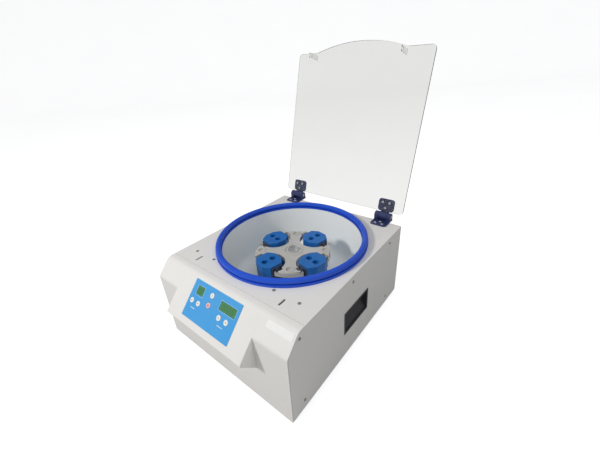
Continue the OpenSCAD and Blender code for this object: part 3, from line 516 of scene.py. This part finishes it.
# Round-headed screws with a cross recess, one mesh for each size
def screwMesh(name, radius, height, recess):
    steps, rings, skirt = 28, 5, screws["skirt"]
    profile = [(radius * mm, 0), (radius * mm, height * skirt * mm)]
    for i in range(1, rings + 1):
        a = math.pi / 2 * i / rings
        r = radius * math.cos(a) if i < rings else 0
        profile.append((r * mm, height * (skirt + (1 - skirt) * math.sin(a)) * mm))
    head = pieceFrom(spinProfile(profile, steps), name + "Head")
    cross = bmesh.new()
    slot = recess * screws["slotShare"]
    for halfX, halfY in ((recess, slot), (slot, recess)):
        made = bmesh.ops.create_cube(cross, size=1)["verts"]
        bmesh.ops.scale(cross, vec=Vector((halfX * 2, halfY * 2, height)) * mm, verts=made)
        bmesh.ops.translate(cross, vec=Vector((0, 0, height * screws["crossLift"])) * mm, verts=made)
    cutter = pieceFrom(cross, name + "Cutter")
    cut = head.modifiers.new("recess", "BOOLEAN")
    cut.object = cutter
    cut.operation = "DIFFERENCE"
    cut.solver = "EXACT"
    cut.use_self = True
    bpy.context.view_layer.update()
    finished = bpy.data.meshes.new_from_object(head.evaluated_get(bpy.context.evaluated_depsgraph_get()))
    finished.name = name
    for thing in (head, cutter):
        bpy.data.objects.remove(thing)
    finished.materials.clear()
    return finished


def placeScrews(name, mesh, spots, material, body, node):
    merged = bmesh.new()
    for spot in spots:
        part = mesh.copy()
        part.transform(spot)
        merged.from_mesh(part)
        bpy.data.meshes.remove(part)
    bmesh.ops.recalc_face_normals(merged, faces=merged.faces)
    piece = pieceFrom(merged, name, material, 40)
    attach(piece, body)
    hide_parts(node)


# Each screw's cross stops at its own angle
def tilt(index):
    return Matrix.Rotation(math.radians(screws["turnStep"] * index % 90), 4, "Z")


hingeScrew = screwMesh("hingeScrewHead", *screws["hingeHead"])
coverScrew = screwMesh("coverScrewHead", *screws["coverHead"])
leafSpots, footSpots, coverSpots = [], [], []
halfPitch = screws["pitch"] / 2
for side in (-1, 1):
    hingeX = side * screws["hingeX"]
    for dx, up in ((-halfPitch, screws["leafUp"]), (halfPitch, screws["leafUp"]), (0, screws["leafLow"])):
        # These heads lie on the clear lid's inner side, which faces the front while it stands open
        spot = Vector((hingeX + dx, -screws["lidStart"] - up, screws["lidLow"])) * mm
        facing = Matrix.Rotation(math.pi, 4, "X")
        leafSpots.append(lidFrame() @ Matrix.Translation(spot) @ facing @ tilt(len(leafSpots)))
    for dx, y in ((-halfPitch, screws["footFront"]), (halfPitch, screws["footFront"]), (0, screws["footBack"])):
        spot = fromFront(hingeX + dx, y, screws["footTop"])
        footSpots.append(Matrix.Translation(spot) @ tilt(len(footSpots) + 2))
    sideSpots = [(y, screws["sideTopZ"]) for y in screws["sideTopY"]]
    sideSpots += [(y, screws["sideLowZ"]) for y in screws["sideLowY"]]
    for y, z in sideSpots:
        spot = fromFront(side * housing["halfWidth"], y, z)
        facing = Matrix.Rotation(side * math.pi / 2, 4, "Y")
        coverSpots.append(Matrix.Translation(spot) @ facing @ tilt(len(coverSpots)))
for x in screws["topRow"]:
    spot = fromFront(x, screws["topY"], housing["topZ"])
    coverSpots.append(Matrix.Translation(spot) @ tilt(len(coverSpots)))
placeScrews("leafScrewHeads", hingeScrew, leafSpots, brightMetal, "lid", "lid_screws")
placeScrews("footScrewHeads", hingeScrew, footSpots, brightMetal, "housing", "hinge_foot_screws")
placeScrews("coverScrewHeads", coverScrew, coverSpots, screwMetal, "housing", "cover_screws")
print("screws set")


# Flat marks on the slope; each part is an outline in mm across and down the slope from the bend
def slopeMark(name, parts, lift, depth, material, body="housing"):
    work = bmesh.new()
    turned = slopeFrame()
    for part in parts:
        low = [work.verts.new(turned @ (Vector((x, v, lift - depth)) * mm)) for x, v in part]
        high = [work.verts.new(turned @ (Vector((x, v, lift)) * mm)) for x, v in part]
        work.faces.new(high)
        work.faces.new(list(reversed(low)))
        for k in range(len(part)):
            n = (k + 1) % len(part)
            work.faces.new((low[k], low[n], high[n], high[k]))
    bmesh.ops.recalc_face_normals(work, faces=work.faces)
    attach(pieceFrom(work, name, material), body)


def boxPart(left, low, right, high):
    return [(left, low), (right, low), (right, high), (left, high)]


def ringPart(x, v, radius, start, end, width, steps=20):
    points = []
    for r, order in ((radius, range(steps + 1)), (radius - width, range(steps, -1, -1))):
        for k in order:
            a = start + (end - start) * k / steps
            points.append((x + r * math.cos(a), v + r * math.sin(a)))
    return points


# Domed key caps, each with a plain sign for what it does; places in mm across and down the slope
keys = {
    "start_key": (-12.5, 22.4, "bar"), "stop_key": (-12.5, 42, "disc"),
    "time_up_key": (-60, 50, "up"), "time_down_key": (-40, 50, "down"),
    "speed_up_key": (24.7, 50.8, "up"), "speed_down_key": (45.5, 50.8, "down"),
}
keyCap = {"radius": 5.5, "low": 0.55, "rim": 0.9, "top": 1.38, "rimIn": 0.25, "rimUp": 0.22, "domeIn": 0.8,
          "domeDrop": 0.06, "flatShare": 0.6, "signTop": 1.4, "signDepth": 0.12, "signSize": 1.9, "barHalf": 0.5,
          "arrowShare": 0.7, "discShare": 1.1}


def makeKeyCap(name, x, v, material):
    radius, rim, top = keyCap["radius"], keyCap["rim"], keyCap["top"]
    shape = [(radius, keyCap["low"]), (radius, rim), (radius - keyCap["rimIn"], rim + keyCap["rimUp"]),
             (radius - keyCap["domeIn"], top - keyCap["domeDrop"]), (radius * keyCap["flatShare"], top), (0, top)]
    place = slopeFrame() @ Matrix.Translation(Vector((x, v, 0)) * mm)
    return pieceFrom(spinProfile([(r * mm, z * mm) for r, z in shape], 40, place), name, material, 50)


def keySign(sign, x, v):
    s = keyCap["signSize"]
    if sign == "disc":
        radius = s * keyCap["discShare"]
        return [ringPart(x, v, radius, 0, math.pi, s), ringPart(x, v, radius, math.pi, 2 * math.pi, s)]
    if sign == "bar":
        return [boxPart(x - keyCap["barHalf"], v - s, x + keyCap["barHalf"], v + s)]
    tip = -s if sign == "up" else s
    foot = v - keyCap["arrowShare"] * tip
    return [[(x - s, foot), (x + s, foot), (x, v + tip)]]


for node, (x, v, sign) in keys.items():
    cap = makeKeyCap(node + "Cap", x, v, keyStop if sign == "disc" else keyWhite)
    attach(cap, node + "_body")
    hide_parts(node)
    slopeMark(node + "Sign", keySign(sign, x, v), keyCap["signTop"], keyCap["signDepth"],
              redMark if sign == "disc" else darkMark, node + "_body")

# Where the displays lie, and the thin printed frames and plain dashes round them
panel = {"timeMiddle": (-47.3, 26.5), "speedMiddle": (37.8, 29), "timeFrame": (22.5, 20), "speedFrame": (46.5, 19),
         "line": 0.35, "lift": 0.84, "depth": 0.1, "dashes": ((-50, 62, 14), (35, 63, 16)), "dashWidth": 1.1}
# Seven-bar digits, faint as on a display that shows zero
digits = {"height": 9.5, "width": 5.2, "bar": 0.8, "gap": 0.25, "slant": 0.10, "lift": 0.83, "depth": 0.1,
          "timePitch": 7.6, "speedPitch": 8.6}


def zeroParts(x, v):
    h, w, b, g = digits["height"] / 2, digits["width"] / 2, digits["bar"], digits["gap"]
    bars = [boxPart(x - w + b + g, v + row, x + w - b - g, v + row + b) for row in (-h, h - b)]
    for column in (-w, w - b):
        for low, high in ((-h + g, -g), (g, h - g)):
            bars.append(boxPart(x + column, v + low, x + column + b, v + high))
    return [[(px - digits["slant"] * (pv - v), pv) for px, pv in bar] for bar in bars]


def showZeros(name, middle, count, pitch):
    parts = []
    for i in range(count):
        parts += zeroParts(middle[0] + (i - (count - 1) / 2) * pitch, middle[1])
    slopeMark(name, parts, digits["lift"], digits["depth"], digitDark)


def printFrame(name, middle, size):
    left, right = middle[0] - size[0] / 2, middle[0] + size[0] / 2
    low, high, line = middle[1] - size[1] / 2, middle[1] + size[1] / 2, panel["line"]
    sides = [boxPart(left, low, right, low + line), boxPart(left, high - line, right, high),
             boxPart(left, low + line, left + line, high - line),
             boxPart(right - line, low + line, right, high - line)]
    slopeMark(name, sides, panel["lift"], panel["depth"], whiteMark)


showZeros("timeDigits", panel["timeMiddle"], 2, digits["timePitch"])
showZeros("speedDigits", panel["speedMiddle"], 4, digits["speedPitch"])
printFrame("timeFrame", panel["timeMiddle"], panel["timeFrame"])
printFrame("speedFrame", panel["speedMiddle"], panel["speedFrame"])
dashes = [boxPart(x - w / 2, v, x + w / 2, v + panel["dashWidth"]) for x, v, w in panel["dashes"]]
slopeMark("panelDashes", dashes, panel["lift"], panel["depth"], whiteMark)
print("control panel made")

# Camera at the photographed angle, worked out from the housing, bowl and lid
cameraLook = {"x": 420.6, "y": -212.5, "z": 583.7, "azimuth": 40.43, "elevation": 28.59, "roll": -4.1,
              "lens": 18.28, "sensor": 36}
cameraData = bpy.data.cameras.new("studioCamera")
cameraData.lens = cameraLook["lens"]
cameraData.sensor_width = cameraLook["sensor"]
cameraData.clip_start = 0.01
camera = link(bpy.data.objects.new("studioCamera", cameraData))
cameraSpot = Matrix.Translation(fromFront(cameraLook["x"], cameraLook["y"], cameraLook["z"]))
turn = Matrix.Rotation(math.radians(cameraLook["azimuth"]), 4, "Z")
lift = Matrix.Rotation(math.radians(90 - cameraLook["elevation"]), 4, "X")
roll = Matrix.Rotation(math.radians(cameraLook["roll"]), 4, "Z")
camera.matrix_world = cameraSpot @ turn @ lift @ roll
bpy.context.scene.camera = camera

# Floor sizes in metres; behind the part it bends up into a backdrop
floorShape = {"reach": 8.0, "halfWidth": 12.8, "wallAt": 5.0, "bend": 2.0, "high": 6.0, "steps": 12, "turn": 40,
              "color": (0.52, 0.52, 0.52), "mottle": (0.51, 0.51, 0.515), "roughness": 0.9, "glow": 1.5}


# Paper that glows where it is seen, directly or through the clear lid, but doesn't light the part
def makeFloorPaper():
    material, tree, shader = startMaterial("floorPaper")
    marks = useGroup(tree, handlingMarks, Scale=1.5)
    color = mixColor(tree, marks.outputs["Mark"], floorShape["color"], floorShape["mottle"])
    tree.links.new(color, shader.inputs["Base Color"])
    shader.inputs["Roughness"].default_value = floorShape["roughness"]
    path = addNode(tree, "ShaderNodeLightPath")
    seen = mathNode(tree, "ADD", path.outputs["Is Camera Ray"], path.outputs["Is Transmission Ray"], clamp=True)
    tree.links.new(color, shader.inputs["Emission Color"])
    tree.links.new(mathNode(tree, "MULTIPLY", seen, floorShape["glow"]), shader.inputs["Emission Strength"])
    return material


def makeFloor():
    work = bmesh.new()
    wallAt, bend, steps = floorShape["wallAt"], floorShape["bend"], floorShape["steps"]
    profile = [(-floorShape["reach"], 0), (wallAt, 0)]
    for k in range(1, steps + 1):
        a = math.pi / 2 * k / steps
        profile.append((wallAt + bend * math.sin(a), bend * (1 - math.cos(a))))
    profile.append((wallAt + bend, floorShape["high"]))
    left = [work.verts.new((-floorShape["halfWidth"], y, z)) for y, z in profile]
    right = [work.verts.new((floorShape["halfWidth"], y, z)) for y, z in profile]
    for k in range(len(profile) - 1):
        work.faces.new((left[k], right[k], right[k + 1], left[k + 1]))
    floor = pieceFrom(work, "studioFloor", makeFloorPaper(), 60)
    floor.rotation_euler = (0, 0, math.radians(floorShape["turn"]))


makeFloor()

studio = {
    "worldColor": (0.97, 0.985, 1.0), "worldStrength": 0.43, "worldSeen": 0.98, "aimHeight": 170,
    "keyFrom": (-0.34, -0.74, 0.62), "keyReach": 2.4, "keyPower": 28, "keySize": 0.3,
    "keyColor": (1.0, 0.985, 0.96),
    "fillFrom": (1.1, -0.2, 2.0), "fillPower": 9, "fillSize": 1.4, "fillColor": (0.94, 0.97, 1.0),
}


# Soft daylight from all sides, which looks nearly white where it is seen directly or through the lid
def makeWorld():
    world = bpy.data.worlds.new("studioWorld")
    world.use_nodes = True
    tree = world.node_tree
    sky = tree.nodes["Background"]
    sky.inputs["Color"].default_value = (*studio["worldColor"], 1)
    path = addNode(tree, "ShaderNodeLightPath")
    seen = mathNode(tree, "ADD", path.outputs["Is Camera Ray"], path.outputs["Is Transmission Ray"], clamp=True)
    extra = mathNode(tree, "MULTIPLY", seen, studio["worldSeen"] - studio["worldStrength"])
    tree.links.new(mathNode(tree, "ADD", extra, studio["worldStrength"]), sky.inputs["Strength"])
    bpy.context.scene.world = world


def areaLight(name, origin, target, power, size, color):
    data = bpy.data.lights.new(name, "AREA")
    data.energy = power
    data.size = size
    data.color = color
    lamp = link(bpy.data.objects.new(name, data))
    lamp.location = origin
    lamp.rotation_euler = (target - origin).to_track_quat("-Z", "Y").to_euler()
    lamp.visible_glossy = False   # no bright patch in the lid or the bowl
    lamp.visible_transmission = False


makeWorld()
bowlMiddle = fromFront(0, housing["bowlY"], studio["aimHeight"])
keySpot = bowlMiddle + Vector(studio["keyFrom"]).normalized() * studio["keyReach"]
fillSpot = bowlMiddle + Vector(studio["fillFrom"])
areaLight("keyLight", keySpot, bowlMiddle, studio["keyPower"], studio["keySize"], studio["keyColor"])
areaLight("bowlFill", fillSpot, bowlMiddle, studio["fillPower"], studio["fillSize"], studio["fillColor"])
bpy.context.scene.view_settings.view_transform = "Standard"
print("camera, floor and lights set")
